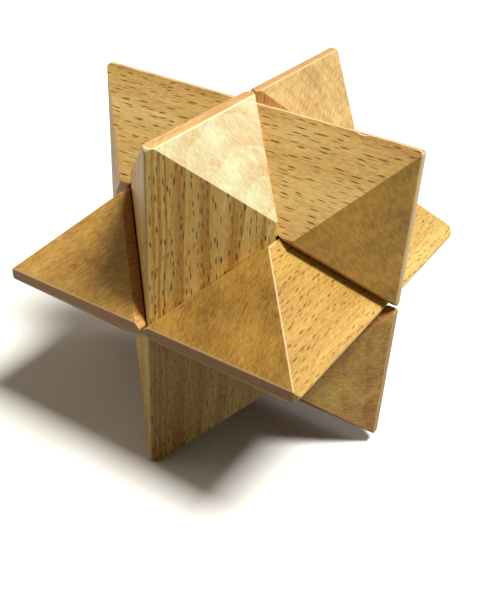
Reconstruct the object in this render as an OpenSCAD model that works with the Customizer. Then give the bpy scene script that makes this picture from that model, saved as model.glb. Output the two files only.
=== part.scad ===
// Six-piece diagonal star burr puzzle in solid beech.
// Six identical square bars lie in three crossed pairs. Two V-notches side by side in each
// bar's inner edge take the two bars that cross it, and the pointed ends make the star.

/* [Stock] */
// Side of the square beech bar that every piece is cut from
stock_side = 25; // [18:0.5:40]
// Length of a piece, in bar sides
length_in_sides = 3; // [2.95:0.01:3.2]
// Flat left across each end, where the two end cuts stop short of a sharp edge
end_flat = 2.4; // [1:0.2:5]

/* [Fit] */
// Gap between two faces that meet, so that the pieces slide
play = 0.2; // [0.1:0.05:0.5]
// Width of the bevel that eases the long edges
ease = 0.4; // [0.1:0.1:1]

/* [Hidden] */

// Half of the stock's diagonal: the bar stands on edge, so this is its half height
half_diagonal = stock_side / sqrt(2);
// Distance from the star's centre to each bar's own axis, which is also a notch's depth
pitch = (stock_side + play) / sqrt(2);
// Half of a piece's length, and so half of the star's width, depth and height
half_length = length_in_sides * stock_side / 2;
// Where the two 45 degree cuts of an end would meet in a sharp edge
cut_reach = half_length + end_flat / 2;
// How far each corner of the section is cut back to leave a bevel of the width above
corner_cut = ease / 2;
// The cutting shapes run this much past the wood
past = 1;

// Square section on edge with its four corners eased
module section() {
  intersection() {
    rotate(45) square(stock_side, center = true);
    square(2 * (half_diagonal - corner_cut), center = true);
  }
}

// Outline seen from outside: a square tip at each end, cut off blunt
module end_outline() {
  intersection() {
    polygon([[-cut_reach, 0], [0, -cut_reach], [cut_reach, 0], [0, cut_reach]]);
    square([2 * half_length, 2 * cut_reach], center = true);
  }
}

// One notch seen from the side: right-angled, with its mouth on the bar's inner edge
module notch_outline() {
  polygon([
    [-pitch - past, -past],
    [-pitch, 0],
    [0, pitch],
    [pitch, 0],
    [pitch + past, -past]
  ]);
}

// One piece, lying along X and centred over the origin, with its notches facing down at it
module bar() {
  inner_edge = pitch - half_diagonal;
  difference() {
    intersection() {
      translate([0, 0, pitch])
        rotate([90, 0, 90])
          linear_extrude(2 * half_length, center = true) section();
      linear_extrude(pitch + half_diagonal) end_outline();
    }
    for (side = [-1, 1])
      translate([side * pitch, 0, inner_edge])
        rotate([90, 0, 0])
          linear_extrude(2 * half_diagonal + 2 * past, center = true) notch_outline();
  }
}

// A piece turned from its place over the origin and lifted to the star's centre
module place(turns) {
  translate([0, 0, half_length])
    rotate(turns)
      bar();
}

// The pair that lies across the front
module bottom_bar() {
  color("#c99252") place([180, 0, 0]);
}

module top_bar() {
  color("#dca866") place([0, 0, 0]);
}

// The upright pair
module front_bar() {
  color("#e6bd80") place([90, -90, 0]);
}

module back_bar() {
  color("#d5a15f") place([-90, 90, 0]);
}

// The pair that runs from front to back
module left_bar() {
  color("#deb071") place([90, 0, -90]);
}

module right_bar() {
  color("#cf9a58") place([90, 0, 90]);
}

bottom_bar();
top_bar();
front_bar();
back_bar();
left_bar();
right_bar();
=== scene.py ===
"""Six-piece diagonal star burr in solid beech, standing on a pale table under soft light.

Every bar is the same cut from the same square stock. What tells them apart is where in the log each stick
grew, how brown that board is, how much wear its edges show, and how strong a highlight is painted on them.
"""

import math

import bmesh
import bpy
import numpy as np
from mathutils import Euler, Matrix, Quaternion, Vector


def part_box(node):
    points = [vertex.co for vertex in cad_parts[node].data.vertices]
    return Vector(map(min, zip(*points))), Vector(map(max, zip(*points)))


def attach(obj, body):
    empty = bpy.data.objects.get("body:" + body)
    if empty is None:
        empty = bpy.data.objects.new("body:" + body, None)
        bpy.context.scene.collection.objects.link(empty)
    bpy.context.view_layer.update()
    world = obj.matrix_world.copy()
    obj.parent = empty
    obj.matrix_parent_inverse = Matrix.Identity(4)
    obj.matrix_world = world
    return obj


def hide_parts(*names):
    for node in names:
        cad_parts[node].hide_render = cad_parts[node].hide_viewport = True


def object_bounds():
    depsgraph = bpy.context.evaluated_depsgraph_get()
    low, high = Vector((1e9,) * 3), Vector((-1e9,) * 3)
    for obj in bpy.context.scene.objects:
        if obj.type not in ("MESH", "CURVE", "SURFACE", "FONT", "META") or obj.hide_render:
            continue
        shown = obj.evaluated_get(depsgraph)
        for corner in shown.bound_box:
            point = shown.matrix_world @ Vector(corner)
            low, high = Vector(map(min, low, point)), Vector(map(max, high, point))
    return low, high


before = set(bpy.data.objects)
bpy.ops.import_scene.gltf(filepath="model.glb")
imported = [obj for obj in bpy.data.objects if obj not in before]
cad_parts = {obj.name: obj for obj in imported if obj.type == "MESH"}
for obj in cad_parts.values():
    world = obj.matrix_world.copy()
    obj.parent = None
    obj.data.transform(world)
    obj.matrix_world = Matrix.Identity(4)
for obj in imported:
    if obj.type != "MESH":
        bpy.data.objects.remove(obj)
cad_box = [list(corner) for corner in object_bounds()]

# ---- Camera ----
# It looks down on the star from the right of its front upright, near enough for strong perspective.
# It leans by about as much as a real star does, which stands on two narrow feet and one tip.
star_low, star_high = (Vector(corner) for corner in cad_box)
star_centre = (star_low + star_high) / 2
camera_azimuth = math.radians(31.1)
camera_elevation = math.radians(31.0)
camera_distance = 0.1943
camera_lean = math.radians(3.0)
camera_aim = star_centre + Vector((0.0028, -0.0056, -0.0092))

camera_side = Vector((math.sin(camera_azimuth), -math.cos(camera_azimuth), 0)) * math.cos(camera_elevation)
camera_place = star_centre + (camera_side + Vector((0, 0, math.sin(camera_elevation)))) * camera_distance
camera = bpy.data.objects.new("camera", bpy.data.cameras.new("camera"))
camera.data.sensor_width = 36
camera.data.lens = 51.7
camera.data.clip_start = 0.01
camera.location = camera_place
camera.rotation_mode = "QUATERNION"
camera.rotation_quaternion = (
    (camera_aim - camera_place).to_track_quat("-Z", "Y") @ Quaternion((0, 0, 1), camera_lean)
)
bpy.context.scene.collection.objects.link(camera)
bpy.context.scene.camera = camera

# ---- Table and light ----
# A plain white sheet runs out under the star. One broad lamp stands high on the right, a wide pale panel
# behind gives the satin wood something to reflect, and the white room fills the rest.


def linear(code):
    """The sRGB colour of a hex code as linear red, green and blue, with alpha 1."""
    srgb = [int(code[i : i + 2], 16) / 255 for i in (1, 3, 5)]
    return [c / 12.92 if c <= 0.04045 else ((c + 0.055) / 1.055) ** 2.4 for c in srgb] + [1.0]


def add_node(tree, kind, inputs=(), **settings):
    """Adds a node. inputs gives its sockets their values in order, or by name in a dict. A value can be the
    output that feeds the socket, or the node whose first output does."""
    node = tree.nodes.new(kind)
    for name, value in settings.items():
        setattr(node, name, value)
    for socket, value in inputs.items() if isinstance(inputs, dict) else enumerate(inputs):
        if isinstance(value, bpy.types.Node):
            value = value.outputs[0]
        if isinstance(value, bpy.types.NodeSocket):
            tree.links.new(value, node.inputs[socket])
        else:
            node.inputs[socket].default_value = value
    return node


table_size = 4.0
table_mesh = bpy.data.meshes.new("table")
table_quarters = ((-1, -1), (1, -1), (1, 1), (-1, 1))
table_corners = [(x * table_size / 2, y * table_size / 2, 0) for x, y in table_quarters]
table_mesh.from_pydata(table_corners, [], [(0, 1, 2, 3)])
table = bpy.data.objects.new("table", table_mesh)
bpy.context.scene.collection.objects.link(table)

table_paper = bpy.data.materials.new("white_paper")
table_paper.use_nodes = True
table_paper.node_tree.nodes["Principled BSDF"].inputs["Base Color"].default_value = linear("#f4f3f0")
table_paper.node_tree.nodes["Principled BSDF"].inputs["Roughness"].default_value = 0.9
table_mesh.materials.append(table_paper)

# A real table is in the shade of its room, and lights the faces that look down much less than a bright
# sheet without end would. An unseen darker sheet stands in for it wherever light bounces.
table.visible_diffuse = False
shade = bpy.data.objects.new("table_shade", table_mesh.copy())
shade.location.z = -0.001
shade.visible_camera = False
shade.visible_glossy = False
bpy.context.scene.collection.objects.link(shade)
shade_paper = table_paper.copy()
shade_paper.name = "shaded_paper"
shade_paper.node_tree.nodes["Principled BSDF"].inputs["Base Color"].default_value = linear("#5c5448")
shade.data.materials.clear()
shade.data.materials.append(shade_paper)

room = bpy.data.worlds.new("white_room")
room.use_nodes = True
room.node_tree.nodes["Background"].inputs["Color"].default_value = linear("#ffecd4")
room.node_tree.nodes["Background"].inputs["Strength"].default_value = 0.15
bpy.context.scene.world = room


def lamp(name, towards, distance, width, height, watts, colour):
    """A rectangular lamp that faces the star from a direction, at a distance from its centre."""
    light = bpy.data.lights.new(name, "AREA")
    light.shape = "RECTANGLE"
    light.size = width
    light.size_y = height
    light.energy = watts
    light.color = linear(colour)[:3]
    holder = bpy.data.objects.new(name, light)
    direction = Vector(towards).normalized()
    holder.location = star_centre + direction * distance
    holder.rotation_mode = "QUATERNION"
    holder.rotation_quaternion = direction.to_track_quat("Z", "Y")
    bpy.context.scene.collection.objects.link(holder)


lamp("high_right_lamp", (0.38, 0.05, 0.92), 2.0, 0.55, 0.55, 60, "#fffdf8")
lamp("back_panel", (0.42, 0.78, 0.46), 0.8, 0.5, 0.4, 1.2, "#ffffff")
# A pale card on the left lifts the faces that look away from the lamp
lamp("left_card", (-1.0, -0.5, 0.15), 0.7, 0.4, 0.4, 1.1, "#fff4e2")

bpy.context.scene.view_settings.view_transform = "Standard"

# ---- Shape of a bar ----
# Each piece is a 25 mm square stick, 75 mm long. A 45 degree saw cut either side of each end makes the
# star's points, two V-notches in the inner edge take the crossing bars, and the sharp edges are eased by
# hand on sandpaper, so the long edges are round and the tips are blunt.
mm = 0.001
bar_low, bar_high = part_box("top_bar")
corner_cut = 0.2 * mm
end_flat = 2.4 * mm
half_length = (bar_high.x - bar_low.x) / 2
half_diagonal = (bar_high.y - bar_low.y) / 2 + corner_cut
pitch = bar_high.z + corner_cut - half_diagonal - star_centre.z
cut_reach = half_length + end_flat / 2
inner_edge = pitch - half_diagonal

end_radius = 0.25 * mm
arc_steps = 4
side_shares = np.array([0.015, 0.14, 0.32, 0.5, 0.68, 0.86, 0.985])


def along_the_bar():
    """Places of the sections along the bar: even steps, closer ones over each tip, a quarter circle's worth
    over the rounded end, and one exactly at each place where two flat faces meet."""
    tip_start = half_length - 3 * mm
    even = np.linspace(0, tip_start, 70)
    tip = np.linspace(tip_start, half_length - end_radius, 14)
    end = half_length - end_radius * (1 - np.sin(np.linspace(0, np.pi / 2, 6)))
    mouth = inner_edge + corner_cut
    kinks = [corner_cut, pitch - mouth, pitch, pitch + mouth, cut_reach - half_diagonal + corner_cut]
    half = np.unique(np.round(np.concatenate([even, tip, end, kinks]), 7))
    return np.concatenate([-half[:0:-1], half])


def quarter_round(run, radius):
    """How far a quarter circle has dropped once it has run that far into its radius."""
    into = np.clip(run, 0, radius)
    return radius - np.sqrt(radius**2 - into**2)


def section_corners(u, wear_and_highlight, tip_radii, notch_ease, cut_in):
    """The eight corners of each section, as across and out from the star's centre. The stick's four faces
    are |out - pitch| + |across| = half diagonal, an end cut is |along| + |across| = cut reach, and a notch's
    floor rises at 45 degrees from its mouth to one pitch deep and falls again. A tip is rounded most on the
    ridge, and inner_share of that on the inner edge."""
    inner_share = 0.15
    far = np.abs(u)
    tip_radius = np.where(u < 0, *tip_radii)
    end = quarter_round(far - (half_length - end_radius), end_radius)
    tip = quarter_round(far - (half_length - tip_radius), tip_radius)
    diagonal = half_diagonal - math.sqrt(2) * end
    floor = inner_edge + pitch - np.abs(far - pitch) + notch_ease
    top = pitch + half_diagonal - corner_cut - wear_and_highlight - np.maximum(tip, end)
    bottom = np.maximum(floor, inner_edge + corner_cut + np.maximum(inner_share * tip, end))
    across = np.minimum(half_diagonal - corner_cut, cut_reach - cut_in - far - end)
    ridge_across = np.minimum(pitch + diagonal - top, across)
    upper = np.minimum(pitch + diagonal - across, top)
    lower = np.maximum(pitch - diagonal + across, bottom)
    bottom_across = np.minimum(bottom - (pitch - diagonal), across)
    right = np.stack([ridge_across, top, across, upper, across, lower, bottom_across, bottom], 1)
    right = right.reshape(len(u), 4, 2)
    left = right[:, ::-1] * (-1, 1)
    return np.concatenate([right, left], 1)


def rounded(corners, corner_radii):
    """Each corner becomes an arc, a quadratic curve that leaves one side and joins the next at radius over
    tan of half the angle, and never more than half a side away. Straight runs join the arcs."""
    before = np.roll(corners, 1, 1) - corners
    after = np.roll(corners, -1, 1) - corners
    before_length = np.linalg.norm(before, axis=2)
    after_length = np.linalg.norm(after, axis=2)
    shortest = np.minimum(before_length, after_length)
    before = before / np.maximum(before_length, 1e-9)[..., None]
    after = after / np.maximum(after_length, 1e-9)[..., None]
    half_angle = np.arccos(np.clip((before * after).sum(2), -0.9999, 0.9999)) / 2
    tangent = np.minimum(corner_radii / np.tan(half_angle), 0.49 * shortest)[..., None]
    start, stop = corners + before * tangent, corners + after * tangent
    t = np.linspace(0, 1, arc_steps + 1)[:, None]
    arcs = (1 - t) ** 2 * start[:, :, None] + 2 * t * (1 - t) * corners[:, :, None] + t**2 * stop[:, :, None]
    run = np.roll(start, -1, 1) - stop
    sides = stop[:, :, None] + side_shares[:, None] * run[:, :, None]
    return np.concatenate([arcs, sides], 2).reshape(len(corners), -1, 2)


def bar_mesh(
    name, turns, tips, wear, seed, edges=(0.45, 0.25, 0.45, 0.25, 0.4), notch_ease=0.1, cut_in=0.0, chips=()
):
    """The rounded section carried along the bar, in its place in the star. tips are the radii of the two
    rounded ends. edges are the radii of the ridge and of the cuts' edges, then how strong a painted highlight
    the ridge, the cuts' edges and the ends get. notch_ease deepens the notches and cut_in moves the end cuts
    in.
    wear lowers the ridge by a slow wave of that depth, and each chip, as place, half length and depth, scoops
    it like an upturned half ellipse. All lengths are in mm. The attribute made here for the painted edge
    highlight is highest along the middle of a rounded edge and 0 on the flats."""
    u = along_the_bar()
    ridge_radius, cut_radius, ridge_highlight, cut_highlight, end_highlight = edges
    corner_radii = np.array([ridge_radius, cut_radius, cut_radius, 0.15]) * mm
    corner_radii = np.concatenate([corner_radii, corner_radii[::-1]])
    edge_highlight_shares = (ridge_highlight, cut_highlight, 0, 0, 0, 0, cut_highlight, ridge_highlight)
    phase = np.random.default_rng(seed).uniform(0, 2 * np.pi, 3)
    wave = sum(np.sin(u / length + p) for length, p in zip((7 * mm, 3.1 * mm, 1.3 * mm), phase))
    wear_and_highlight = wear * mm * (1 + wave / 3) / 2
    for place, half, depth in np.array(chips).reshape(-1, 3) * mm:
        wear_and_highlight = np.maximum(wear_and_highlight, depth * np.sqrt(np.clip(1 - ((u - place) / half) ** 2, 0, 1)))
    tip_radii = np.array(tips) * mm
    profile = rounded(section_corners(u, wear_and_highlight, tip_radii, notch_ease * mm, cut_in * mm), corner_radii)
    rows, columns = profile.shape[:2]
    points = np.empty((rows, columns, 3))
    points[..., 0] = u[:, None]
    points[..., 1:] = profile
    turn = np.array(Euler([math.radians(a) for a in turns]).to_matrix())
    points = points.reshape(-1, 3) @ turn.T + np.array(star_centre)

    first = np.arange(rows - 1)[:, None] * columns + np.arange(columns)
    beside = np.arange(rows - 1)[:, None] * columns + np.roll(np.arange(columns), -1)
    quads = np.stack([first, first + columns, beside + columns, beside], 2).reshape(-1, 4)
    ends = [np.arange(columns), np.arange(columns)[::-1] + (rows - 1) * columns]
    mesh = bpy.data.meshes.new(name)
    mesh.from_pydata(points, [], [*quads.tolist(), *(e.tolist() for e in ends)])

    # Painted highlight: a mask, highest along the middle of each rounded edge and over the rounded ends, that
    # the wood paints pale cream where the satin edges would catch the light
    t = np.linspace(0, 1, arc_steps + 1)
    round_edge = np.concatenate([4 * t * (1 - t), 0 * side_shares])
    painted_edge_highlight = np.concatenate([share * round_edge for share in edge_highlight_shares])
    into_end = np.clip((np.abs(u) - half_length + end_radius) / end_radius, 0, 1)
    painted_edge_highlight = np.maximum(painted_edge_highlight, end_highlight * (4 * into_end * (1 - into_end))[:, None])
    mesh.attributes.new("painted_edge_highlight", "FLOAT", "POINT").data.foreach_set("value", painted_edge_highlight.ravel())

    shell = bmesh.new()
    shell.from_mesh(mesh)
    bmesh.ops.remove_doubles(shell, verts=shell.verts, dist=2e-6)
    bmesh.ops.dissolve_degenerate(shell, edges=shell.edges, dist=1e-6)
    bmesh.ops.recalc_face_normals(shell, faces=shell.faces)
    shell.to_mesh(mesh)
    shell.free()
    mesh.shade_smooth()
    mesh.set_sharp_from_angle(angle=math.radians(30))
    return mesh


# ---- Beech ----
# Steamed beech, sanded bare. What tells it from other woods is the short brown ray flecks on the faces that
# look out from the heart. The end cuts have no flecks and a finer, cloudier ground. The rounded edges get a
# painted highlight in pale cream, where their satin would catch the light.


def beech(
    name,
    turns,
    heart,
    run_out,
    ring,
    ring_depth,
    tones,
    fleck_brown,
    fleck_thick,
    fleck_size,
    cut_tones,
    cut_rings,
    cut_rays,
    flat_tone,
    seed,
    painted_glare_slope=0.0,
):
    """Beech as it grew. The bar's own millimetres are shifted and turned into the log's, where x runs along
    the grain, y runs out from the heart and z round the tree. heart is the heart's distance in mm and its
    direction in degrees around the bar, run_out the grain's lean in degrees, ring the width of a year's ring
    in mm, and below zero where the rings count inwards. Rings are the distance from the heart over the
    ring's width. Rays are thin sheets that run straight out from the heart, so each is a lens in x and z: it
    shows as a fleck on a face that looks out from the heart, and as a fine line on an end cut."""
    wood = bpy.data.materials.new(name)
    wood.use_nodes = True
    tree = wood.node_tree
    surface = tree.nodes["Principled BSDF"]
    heart_away = heart[0]
    heart_turn = math.radians(heart[1])
    turned = Euler([math.radians(a) for a in turns])

    place = add_node(tree, "ShaderNodeTexCoord")
    on_bar = add_node(
        tree,
        "ShaderNodeMapping",
        {
            "Vector": place.outputs["Object"],
            "Location": star_centre,
            "Rotation": turned,
            "Scale": (mm, mm, mm),
        },
        vector_type="TEXTURE",
    )
    heart_place = (
        100 * seed,
        heart_away * math.cos(heart_turn),
        pitch / mm + heart_away * math.sin(heart_turn),
    )
    log_turn = (heart_turn + math.pi, math.radians(run_out[0]), math.radians(run_out[1]))
    in_log = add_node(
        tree,
        "ShaderNodeMapping",
        {"Vector": on_bar, "Location": heart_place, "Rotation": log_turn},
        vector_type="TEXTURE",
    )

    # The grain wanders a millimetre or so from straight
    slow = add_node(tree, "ShaderNodeVectorMath", (in_log, (1 / 60, 1 / 14, 1 / 14)), operation="MULTIPLY")
    sway = add_node(
        tree, "ShaderNodeTexNoise", {"Vector": slow, "Scale": 1.0, "Detail": 2}, normalize=False
    ).outputs["Color"]
    grown = add_node(tree, "ShaderNodeVectorMath", (sway, (0, 1.6, 1.6), in_log), operation="MULTIPLY_ADD")
    along, out, side = add_node(tree, "ShaderNodeSeparateXYZ", (grown,)).outputs
    out_squared = add_node(tree, "ShaderNodeMath", (out, out), operation="MULTIPLY")
    from_heart = add_node(tree, "ShaderNodeMath", (side, side, out_squared), operation="MULTIPLY_ADD")
    from_heart = add_node(tree, "ShaderNodeMath", (from_heart, 0.5), operation="POWER")

    # Rings: pale early wood darkens outwards to a thin late line
    year = add_node(tree, "ShaderNodeMath", (from_heart, ring), operation="DIVIDE")
    slow_years = add_node(tree, "ShaderNodeMath", (from_heart, 2.5 * abs(ring)), operation="DIVIDE")
    drift = add_node(tree, "ShaderNodeTexNoise", {"W": slow_years}, noise_dimensions="1D")
    age = add_node(tree, "ShaderNodeMath", (year, drift), operation="ADD")
    age = add_node(tree, "ShaderNodeMath", (age,), operation="FRACT")
    rise = add_node(tree, "ShaderNodeMath", (age, 3.0), operation="POWER")
    fall = add_node(tree, "ShaderNodeMath", (age, -14.0, 14.0), operation="MULTIPLY_ADD")
    late = add_node(tree, "ShaderNodeMath", (rise, fall), operation="MINIMUM")

    # Slow clouds of colour, the fibres, and the fine dark dashes of the pores
    cloud_size = add_node(
        tree, "ShaderNodeVectorMath", (in_log, (1 / 45, 1 / 9, 1 / 9)), operation="MULTIPLY"
    )
    cloud = add_node(tree, "ShaderNodeTexNoise", {"Vector": cloud_size, "Scale": 1.0, "Detail": 2})
    fibre_size = add_node(tree, "ShaderNodeVectorMath", (in_log, (1 / 9, 2.2, 2.2)), operation="MULTIPLY")
    fibre = add_node(tree, "ShaderNodeTexNoise", {"Vector": fibre_size, "Scale": 1.0, "Detail": 3})
    speck_size = add_node(tree, "ShaderNodeVectorMath", (in_log, (0.9, 1 / 3, 2.5)), operation="MULTIPLY")
    speck = add_node(tree, "ShaderNodeTexNoise", {"Vector": speck_size, "Scale": 1.0, "Detail": 2})
    depth = add_node(tree, "ShaderNodeMath", (cloud, 0.55), operation="MULTIPLY")
    depth = add_node(tree, "ShaderNodeMath", (late, ring_depth, depth), operation="MULTIPLY_ADD")
    depth = add_node(tree, "ShaderNodeMath", (fibre, 0.40, depth), operation="MULTIPLY_ADD")
    depth = add_node(tree, "ShaderNodeMath", (speck, 0.45, depth), operation="MULTIPLY_ADD")
    # Painted glare: the wood is painted lighter along the bar towards its +x end, where the light glances off
    # it
    from_middle = add_node(tree, "ShaderNodeSeparateXYZ", (on_bar,))
    depth = add_node(tree, "ShaderNodeMath", (from_middle, -painted_glare_slope, depth), operation="MULTIPLY_ADD")
    board = add_node(tree, "ShaderNodeValToRGB", (depth,))
    pale, gold, deep = (linear(code) for code in tones)
    board.color_ramp.elements[0].position = 0.40
    board.color_ramp.elements[0].color = pale
    board.color_ramp.elements[1].position = 1.0
    board.color_ramp.elements[1].color = deep
    board.color_ramp.elements.new(0.68).color = gold

    # A slanting cut crosses the fibres: ray lines run out from the heart over a blotched ground
    line_size = add_node(tree, "ShaderNodeVectorMath", (in_log, (1.4, 1 / 7, 3.1)), operation="MULTIPLY")
    ray_line = add_node(tree, "ShaderNodeTexNoise", {"Vector": line_size, "Scale": 1.0, "Detail": 2})
    blotch = add_node(tree, "ShaderNodeTexNoise", {"Vector": in_log, "Scale": 1 / 2.2, "Detail": 2})
    cut_depth = add_node(tree, "ShaderNodeMath", (cloud, 0.6), operation="MULTIPLY")
    cut_depth = add_node(tree, "ShaderNodeMath", (late, cut_rings, cut_depth), operation="MULTIPLY_ADD")
    cut_depth = add_node(tree, "ShaderNodeMath", (ray_line, 0.6, cut_depth), operation="MULTIPLY_ADD")
    cut_depth = add_node(tree, "ShaderNodeMath", (blotch, 0.3, cut_depth), operation="MULTIPLY_ADD")
    cut_board = add_node(tree, "ShaderNodeValToRGB", (cut_depth,))
    cut_board.color_ramp.elements[0].position = 0.45
    cut_board.color_ramp.elements[0].color = linear(cut_tones[0])
    cut_board.color_ramp.elements[1].position = 1.0
    cut_board.color_ramp.elements[1].color = linear(cut_tones[1])

    # Rays as thin lenses, scattered one to a cell: at size 1 each reaches 0.8 to 1.6 mm either way
    step_along, step_round = 3.5 * fleck_size, 1.1 * fleck_size
    cell_along = add_node(tree, "ShaderNodeMath", (along, step_along), operation="DIVIDE")
    cell_round = add_node(tree, "ShaderNodeMath", (side, step_round), operation="DIVIDE")
    sheet = add_node(tree, "ShaderNodeCombineXYZ", (cell_along, cell_round))
    cell = add_node(tree, "ShaderNodeTexVoronoi", {"Vector": sheet, "Scale": 1.0}, voronoi_dimensions="2D")
    apart = add_node(tree, "ShaderNodeVectorMath", (sheet, cell.outputs["Position"]), operation="SUBTRACT")
    apart_along, apart_round, _ = add_node(tree, "ShaderNodeSeparateXYZ", (apart,)).outputs
    chance_long, chance_thick, _ = add_node(tree, "ShaderNodeSeparateColor", (cell.outputs["Color"],)).outputs
    long = add_node(
        tree, "ShaderNodeMath", (chance_long, 0.8 * fleck_size, 0.8 * fleck_size), operation="MULTIPLY_ADD"
    )
    thick = add_node(
        tree, "ShaderNodeMath", (chance_thick, 0.6 * fleck_thick, 0.4 * fleck_thick), operation="MULTIPLY_ADD"
    )
    reach = add_node(tree, "ShaderNodeMath", (apart_along, step_along), operation="MULTIPLY")
    reach = add_node(tree, "ShaderNodeMath", (reach, long), operation="DIVIDE")
    taper = add_node(tree, "ShaderNodeMath", (reach, reach), operation="MULTIPLY")
    taper = add_node(tree, "ShaderNodeMath", (1.0, taper), operation="SUBTRACT")
    waist = add_node(tree, "ShaderNodeMath", (thick, taper), operation="MULTIPLY")
    aside = add_node(tree, "ShaderNodeMath", (apart_round, step_round), operation="MULTIPLY")
    aside = add_node(tree, "ShaderNodeMath", (aside,), operation="ABSOLUTE")
    inside = add_node(tree, "ShaderNodeMath", (waist, aside), operation="SUBTRACT")
    lens = add_node(
        tree,
        "ShaderNodeMapRange",
        {"Value": inside, "From Min": -0.04, "From Max": 0.07},
        interpolation_type="SMOOTHSTEP",
    )

    # Rays fade to fine lines on a slanting cut, to a faint figure on a face that holds the heart's own
    # direction, and further under the painted edge highlight
    normal = place.outputs["Normal"]
    grain_way = turned.to_matrix() @ Vector((1, 0, 0))
    round_way = turned.to_matrix() @ Vector((0, math.sin(heart_turn), -math.cos(heart_turn)))
    end_grain = add_node(
        tree, "ShaderNodeVectorMath", (normal, grain_way), operation="DOT_PRODUCT"
    ).outputs[1]
    end_grain = add_node(tree, "ShaderNodeMath", (end_grain, end_grain), operation="MULTIPLY")
    broad = add_node(tree, "ShaderNodeVectorMath", (normal, round_way), operation="DOT_PRODUCT").outputs[1]
    broad = add_node(tree, "ShaderNodeMath", (broad, broad), operation="MULTIPLY")
    edge_on = add_node(
        tree,
        "ShaderNodeMapRange",
        {"Value": broad, "From Min": 0.6, "From Max": 0.9, "To Min": 1, "To Max": 0.12},
    )
    wear_and_highlight = add_node(tree, "ShaderNodeAttribute", attribute_name="painted_edge_highlight").outputs["Fac"]
    off_highlight = add_node(tree, "ShaderNodeMath", (1.0, wear_and_highlight), operation="SUBTRACT", use_clamp=True)
    strength = add_node(
        tree, "ShaderNodeMath", (end_grain, 2 * cut_rays - 1.7, 0.9), operation="MULTIPLY_ADD", use_clamp=True
    )
    rays = add_node(tree, "ShaderNodeMath", (lens, strength), operation="MULTIPLY")
    rays = add_node(tree, "ShaderNodeMath", (rays, edge_on), operation="MULTIPLY")
    rays = add_node(tree, "ShaderNodeMath", (rays, off_highlight), operation="MULTIPLY")

    # The slanting cuts have tones of their own, and the flat across the fibres is browner
    slant = add_node(tree, "ShaderNodeMath", (1.0, end_grain), operation="SUBTRACT")
    slant = add_node(tree, "ShaderNodeMath", (slant, end_grain), operation="MULTIPLY")
    on_cut = add_node(tree, "ShaderNodeMath", (slant, 4.0), operation="MULTIPLY")
    on_flat = add_node(
        tree, "ShaderNodeMath", (end_grain, 1.3, -0.65), operation="MULTIPLY_ADD", use_clamp=True
    )
    # Painted highlight: the rounded edges are mixed towards pale cream #fbe6b4, standing in for the light
    # their satin would catch
    edge_highlight_mix = add_node(tree, "ShaderNodeMath", (wear_and_highlight, 0.85), operation="MULTIPLY")
    colour = add_node(tree, "ShaderNodeMix", {0: on_cut, 6: board, 7: cut_board}, data_type="RGBA").outputs[2]
    colour = add_node(
        tree, "ShaderNodeMix", {0: rays, 6: colour, 7: linear(fleck_brown)}, data_type="RGBA"
    ).outputs[2]
    colour = add_node(
        tree, "ShaderNodeMix", {0: on_flat, 6: colour, 7: linear(flat_tone)}, data_type="RGBA"
    ).outputs[2]
    colour = add_node(
        tree, "ShaderNodeMix", {0: edge_highlight_mix, 6: colour, 7: linear("#fbe6b4")}, data_type="RGBA"
    ).outputs[2]
    tree.links.new(colour, surface.inputs["Base Color"])

    # Fine sandpaper leaves a satin face: fibres and rays lie up to two hundredths of a millimetre low
    surface.inputs["IOR"].default_value = 1.5
    rough = add_node(tree, "ShaderNodeMapRange", {"Value": fibre, "To Min": 0.42, "To Max": 0.58})
    tree.links.new(rough.outputs[0], surface.inputs["Roughness"])
    height = add_node(tree, "ShaderNodeMath", (fibre, -0.5), operation="MULTIPLY")
    height = add_node(tree, "ShaderNodeMath", (height, rays), operation="SUBTRACT")
    sunk = add_node(tree, "ShaderNodeBump", {"Height": height, "Strength": 0.35, "Distance": 0.02 * mm})
    tree.links.new(sunk.outputs[0], surface.inputs["Normal"])
    return wood


def add_bar(node, turns, shape, wood):
    """One bar as a piece that rides on its CAD part and takes its place."""
    mesh = bar_mesh(node, turns, **shape)
    mesh.materials.append(beech(node + "_beech", turns, **wood))
    piece = bpy.data.objects.new(node + "_beech", mesh)
    bpy.context.scene.collection.objects.link(piece)
    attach(piece, node)
    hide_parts(node)


# ---- The pair that lies across the front ----
# Both run from left to right. The top bar shows the most flecks and the softest ridge, with one small chip
# beside its right end. The bottom bar is a browner board.
add_bar(
    "top_bar",
    turns=(0, 0, 0),
    shape=dict(
        tips=(1.0, 1.0),
        wear=0.14,
        seed=2,
        edges=(0.6, 0.2, 0.7, 0.1, 0.5),
        notch_ease=0.5,
        cut_in=0.3,
        chips=((25, 1.2, 0.3),),
    ),
    wood=dict(
        heart=(60, -61),
        run_out=(0, 1.5),
        ring=3.5,
        ring_depth=0.12,
        tones=("#d9c183", "#c4a15d", "#9e7335"),
        fleck_brown="#502405",
        fleck_thick=0.15,
        fleck_size=1.05,
        cut_tones=("#e5b451", "#8b6629"),
        cut_rings=0.06,
        cut_rays=0.2,
        flat_tone="#d6bc8c",
        seed=2,
    ),
)
add_bar(
    "bottom_bar",
    turns=(180, 0, 0),
    shape=dict(tips=(1.0, 1.0), wear=0.1, seed=1, cut_in=0.3),
    wood=dict(
        heart=(70, 184),
        run_out=(0, 1),
        ring=3.2,
        ring_depth=0.12,
        tones=("#cfa767", "#b58242", "#8e5f2b"),
        fleck_brown="#6f451f",
        fleck_thick=0.12,
        fleck_size=0.8,
        cut_tones=("#ffdd75", "#a4682b"),
        cut_rings=0.12,
        cut_rays=0.4,
        flat_tone="#a87c48",
        seed=1,
    ),
)

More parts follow.
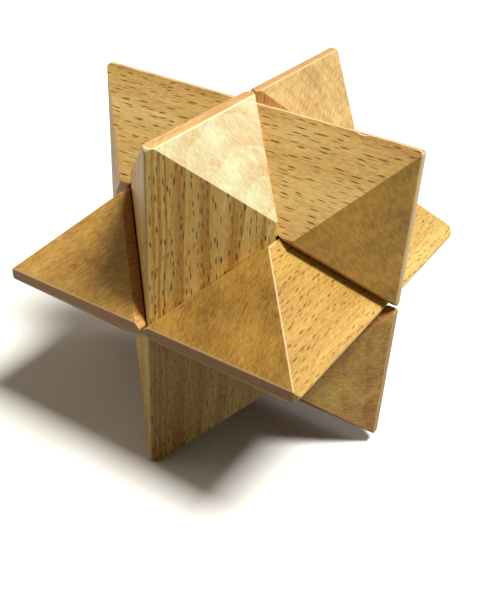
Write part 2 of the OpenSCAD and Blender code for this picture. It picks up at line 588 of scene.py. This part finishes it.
# ---- The upright pair ----
# The front bar was sawn close to the heart, so broad greenish bands run up it and its top cut shows the arc
# of a ring on nearly white wood. The back bar is peach.
add_bar(
    "front_bar",
    turns=(90, -90, 0),
    shape=dict(tips=(1.0, 1.0), wear=0.1, seed=3, edges=(0.5, 0.3, 0.4, 0.5, 1.0)),
    wood=dict(
        heart=(32, 183),
        run_out=(0, -1),
        ring=-4.6,
        ring_depth=0.42,
        tones=("#f0e6a0", "#dfbc68", "#b6843a"),
        fleck_brown="#361c08",
        fleck_thick=0.13,
        fleck_size=0.8,
        cut_tones=("#cddfb8", "#bf9c66"),
        cut_rings=0.17,
        cut_rays=0.0,
        flat_tone="#c48e60",
        seed=3,
    ),
)
add_bar(
    "back_bar",
    turns=(-90, 90, 0),
    shape=dict(tips=(1.0, 1.0), wear=0.1, seed=4, cut_in=0.3),
    wood=dict(
        heart=(80, 250),
        run_out=(0, 1),
        ring=2.8,
        ring_depth=0.1,
        tones=("#e8c08a", "#d8a568", "#b98048"),
        fleck_brown="#8a5526",
        fleck_thick=0.1,
        fleck_size=0.9,
        cut_tones=("#d8b870", "#9e7537"),
        cut_rings=0.12,
        cut_rays=0.3,
        flat_tone="#b7935f",
        seed=4,
    ),
)

# ---- The pair that runs from front to back ----
# Both are golden. The edge between the right bar's front cut and its flecked face carries a strong painted
# highlight.
add_bar(
    "left_bar",
    turns=(90, 0, -90),
    shape=dict(tips=(1.0, 1.4), wear=0.1, seed=5),
    wood=dict(
        heart=(65, 134),
        run_out=(0, 1),
        ring=3.0,
        ring_depth=0.12,
        tones=("#deb57a", "#c99551", "#a37034"),
        fleck_brown="#74461d",
        fleck_thick=0.1,
        fleck_size=0.8,
        cut_tones=("#deb25b", "#976929"),
        cut_rings=0.04,
        cut_rays=0.55,
        flat_tone="#a57a55",
        seed=5,
    ),
)
add_bar(
    "right_bar",
    turns=(90, 0, 90),
    shape=dict(tips=(1.4, 2.6), wear=0.12, seed=6, edges=(0.4, 0.8, 0.1, 0.6, 0.4)),
    wood=dict(
        heart=(70, 180),
        run_out=(0, -1),
        ring=3.4,
        ring_depth=0.12,
        tones=("#dfc476", "#c9a150", "#a1772f"),
        fleck_brown="#683006",
        fleck_thick=0.105,
        fleck_size=0.8,
        cut_tones=("#ca9c43", "#81591e"),
        cut_rings=0.06,
        cut_rays=0.5,
        flat_tone="#7a4a28",
        painted_glare_slope=0.002,
        seed=6,
    ),
)
